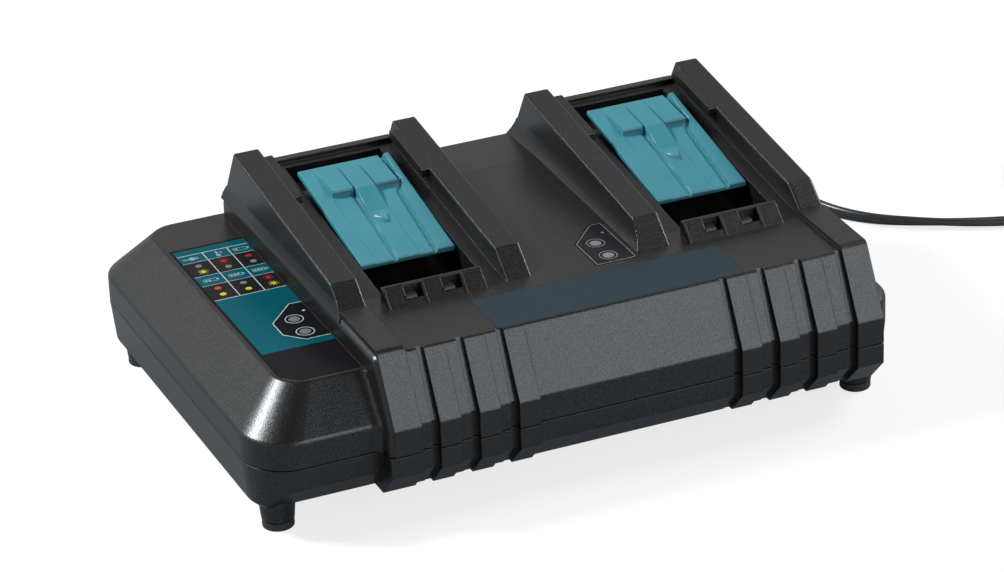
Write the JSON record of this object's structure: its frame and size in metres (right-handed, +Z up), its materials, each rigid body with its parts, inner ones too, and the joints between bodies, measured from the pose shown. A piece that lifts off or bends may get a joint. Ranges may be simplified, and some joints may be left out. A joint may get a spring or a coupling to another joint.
{
  "type": "power tool battery charger",
  "caption": "Bench charger for slide-on tool battery packs: dark sloped housing, ribbed front, rail docks with sprung sliding terminal covers, status label and mains cord.",
  "frame": {"origin": "under the middle of the housing, on the table that the feet stand on", "axes": "+X to the right seen from the front, +Y to the rear where the cord leaves, +Z up"},
  "size_m": [0.5346, 0.3108, 0.0978],
  "materials": {
    "housing_black": "fine moulded grain",
    "cover_teal": "satin moulded",
    "label_print": "printed film",
    "plate_slate": "smooth film",
    "window_black": "smooth film",
    "lamp_lens": "frosted",
    "circuit_board": "solder mask",
    "ferrite": "sintered",
    "winding": "enamelled wire and tape",
    "insulator_black": "moulded",
    "capacitor_can": "sleeved",
    "connector_yellow": "moulded",
    "fuse_glass": "clear",
    "wire_sheath": "smooth",
    "screw_steel": "zinc plated",
    "cord_rubber": "smooth flexible",
    "plug_plastic": "moulded",
    "contact_plated": "nickel plated",
    "heatsink_aluminium": "extruded",
    "spring_steel": "bright",
    "foot_rubber": "matt"
  },
  "bodies": {
    "charger": {"upper_housing": "housing_black", "lower_housing": "housing_black", "status_label": "label_print", "name_plate": "plate_slate", "deck_window": "window_black", "status_lenses": "lamp_lens", "deck_lenses": "lamp_lens", "indicator_board_label": "circuit_board", "indicator_board_deck": "circuit_board", "indicator_leds": "lamp_lens", "main_board": "circuit_board", "transformer_core": "ferrite", "transformer_winding": "winding", "transformer_base": "insulator_black", "bulk_capacitor": "capacitor_can", "output_capacitors": "capacitor_can", "power_transistors": "insulator_black", "line_filter_choke": "winding", "x_capacitor": "connector_yellow", "fuse": "fuse_glass", "mains_leads": "wire_sheath", "housing_screws": "screw_steel", "board_screws": "screw_steel", "clamp_screws": "screw_steel", "cord_clamp": "insulator_black", "strain_relief": "cord_rubber", "power_cord": "cord_rubber", "cord_coil": "cord_rubber", "mains_plug": "plug_plastic", "plug_pins": "contact_plated", "heatsink_primary": "heatsink_aluminium", "heatsink_secondary": "heatsink_aluminium", "foot_front_left": "foot_rubber", "foot_front_right": "foot_rubber", "foot_rear_left": "foot_rubber", "foot_rear_right": "foot_rubber", "cover_spring_left": "spring_steel", "cover_spring_right": "spring_steel", "terminal_block_left": "insulator_black", "terminal_block_right": "insulator_black", "terminal_blades_left": "contact_plated", "terminal_blades_right": "contact_plated", "signal_connector_left": "connector_yellow", "signal_connector_right": "connector_yellow", "dock_leads_left": "wire_sheath", "dock_leads_right": "wire_sheath"},
    "left_cover": {"terminal_cover_left": "cover_teal"},
    "right_cover": {"terminal_cover_right": "cover_teal"}
  },
  "joints": [
    {"name": "left_cover_slide", "type": "slide", "parent": "charger", "child": "left_cover", "axis": [0, -0.98, -0.1989], "range_m": [0, 0.024], "stiffness_N_per_m": 80, "springref_m": -0.015},
    {"name": "right_cover_slide", "type": "slide", "parent": "charger", "child": "right_cover", "axis": [0, -0.98, -0.1989], "range_m": [0, 0.024], "stiffness_N_per_m": 80, "springref_m": -0.015}
  ]
}
